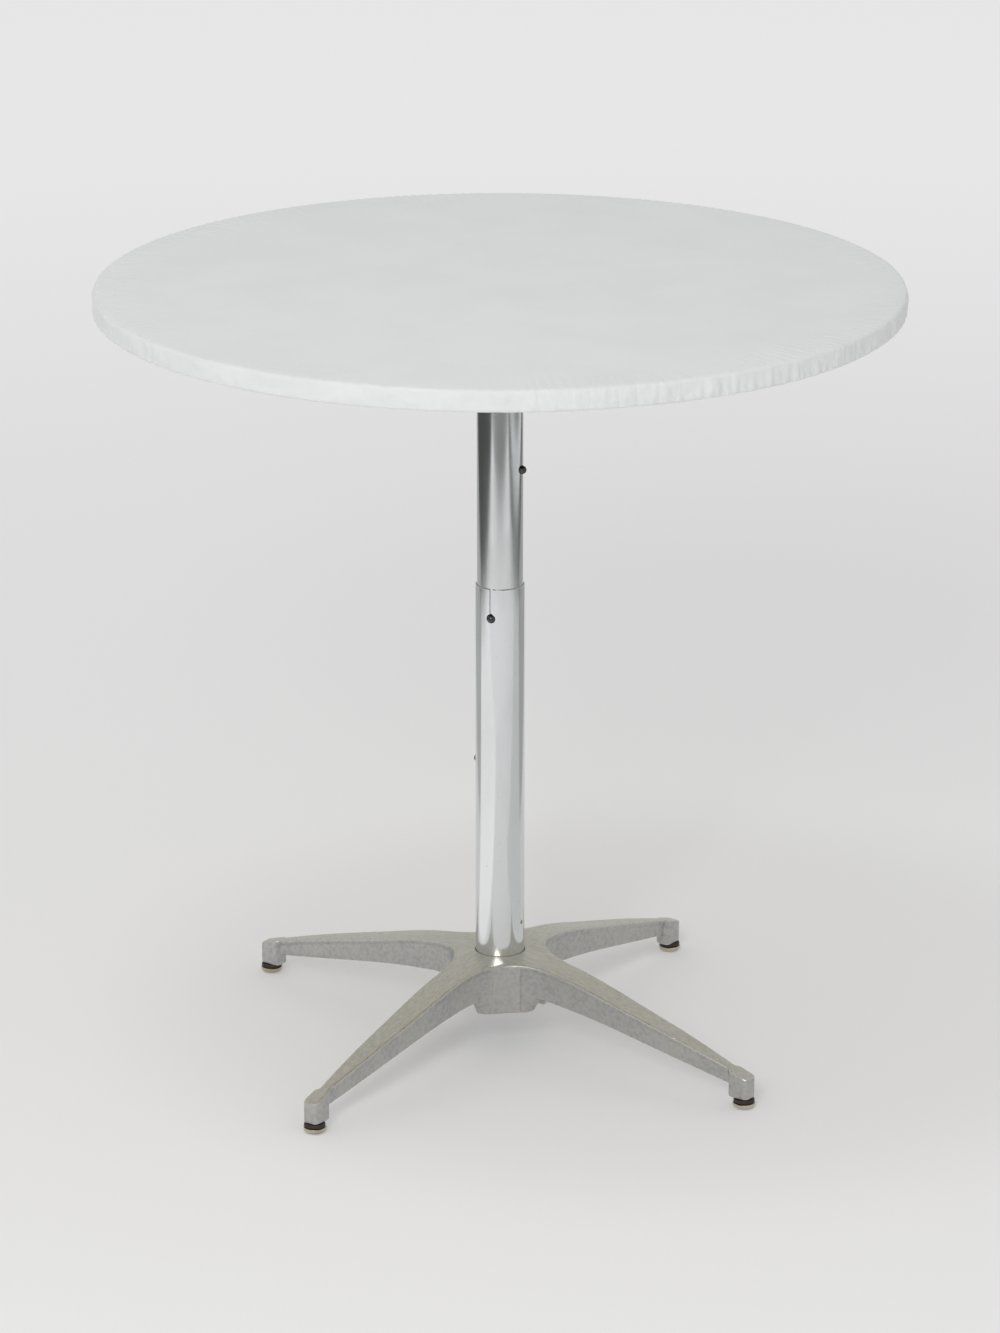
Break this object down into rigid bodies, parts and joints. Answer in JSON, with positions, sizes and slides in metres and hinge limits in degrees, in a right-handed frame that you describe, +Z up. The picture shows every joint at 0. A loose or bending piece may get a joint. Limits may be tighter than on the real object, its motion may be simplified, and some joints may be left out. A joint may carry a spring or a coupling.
{
  "type": "pedestal table with fitted cover",
  "caption": "Round pedestal table in a fitted elastic cloth cover, with a telescoping snap-button column and a cast cross base on levelling glides.",
  "frame": {"origin": "on the floor under the middle of the column", "axes": "+Z up along the column; the base's arms lie on the diagonals between X and Y"},
  "size_m": [0.762, 0.762, 0.762],
  "materials": {
    "cloth": "matt white knitted stretch polyester",
    "elastic": "ribbed flat elastic",
    "plywood": "sealed plywood",
    "edging": "dark vinyl edging",
    "black_steel": "black powder coat",
    "zinc": "zinc plated",
    "chrome": "bright chrome plate",
    "nylon": "moulded black nylon",
    "spring_steel": "spring steel",
    "casting": "satin polished cast aluminium",
    "rubber": "dark rubber",
    "nickel": "nickel plated steel, lightly worn"
  },
  "bodies": {
    "base": {"base_casting": "casting", "lower_tube": "chrome", "hub_set_screw_1": "black_steel", "hub_set_screw_2": "black_steel"},
    "column": {"upper_tube": "chrome", "column_end_bushing": "nylon", "top_plate": "black_steel", "collar_screw_1": "zinc", "collar_screw_2": "zinc", "plate_screw_1": "zinc", "plate_screw_2": "zinc", "plate_screw_3": "zinc", "plate_screw_4": "zinc", "top_panel": "plywood", "edge_band": "edging", "cover_cloth": "cloth", "hem_elastic": "elastic"},
    "button_a": {"snap_button_a": "spring_steel"},
    "button_b": {"snap_button_b": "spring_steel"},
    "button_c": {"snap_button_c": "spring_steel"},
    "button_d": {"snap_button_d": "spring_steel"},
    "glide_1": {"glide_base_1": "nickel", "glide_cushion_1": "rubber", "glide_stem_1": "zinc"},
    "glide_2": {"glide_base_2": "nickel", "glide_cushion_2": "rubber", "glide_stem_2": "zinc"},
    "glide_3": {"glide_base_3": "nickel", "glide_cushion_3": "rubber", "glide_stem_3": "zinc"},
    "glide_4": {"glide_base_4": "nickel", "glide_cushion_4": "rubber", "glide_stem_4": "zinc"}
  },
  "joints": [
    {"name": "column_lift", "type": "slide", "parent": "base", "child": "column", "axis": [0, 0, 1], "range_m": [0, 0.3048]},
    {"name": "button_a_press", "type": "slide", "parent": "column", "child": "button_a", "axis": [-0.866, 0.5, 0], "range_m": [0, 0.0046], "stiffness_N_per_m": 1500, "springref_m": -0.003, "deforming": ["snap_button_a"]},
    {"name": "button_b_press", "type": "slide", "parent": "column", "child": "button_b", "axis": [0.5, 0.866, 0], "range_m": [0, 0.0046], "stiffness_N_per_m": 1500, "springref_m": -0.003, "deforming": ["snap_button_b"]},
    {"name": "button_c_press", "type": "slide", "parent": "column", "child": "button_c", "axis": [0.866, -0.5, 0], "range_m": [0, 0.0046], "stiffness_N_per_m": 1500, "springref_m": -0.003, "deforming": ["snap_button_c"]},
    {"name": "button_d_pop", "type": "slide", "parent": "column", "child": "button_d", "axis": [-0.5, -0.866, 0], "range_m": [0, 0.0046], "deforming": ["snap_button_d"]},
    {"name": "glide_1_level", "type": "slide", "parent": "base", "child": "glide_1", "axis": [0, 0, -1], "range_m": [0, 0.008]},
    {"name": "glide_2_level", "type": "slide", "parent": "base", "child": "glide_2", "axis": [0, 0, -1], "range_m": [0, 0.008]},
    {"name": "glide_3_level", "type": "slide", "parent": "base", "child": "glide_3", "axis": [0, 0, -1], "range_m": [0, 0.008]},
    {"name": "glide_4_level", "type": "slide", "parent": "base", "child": "glide_4", "axis": [0, 0, -1], "range_m": [0, 0.008]}
  ],
  "couplings": [
    {"joint": "button_d_pop", "follows": "column_lift", "ratio": 0.01509}
  ]
}
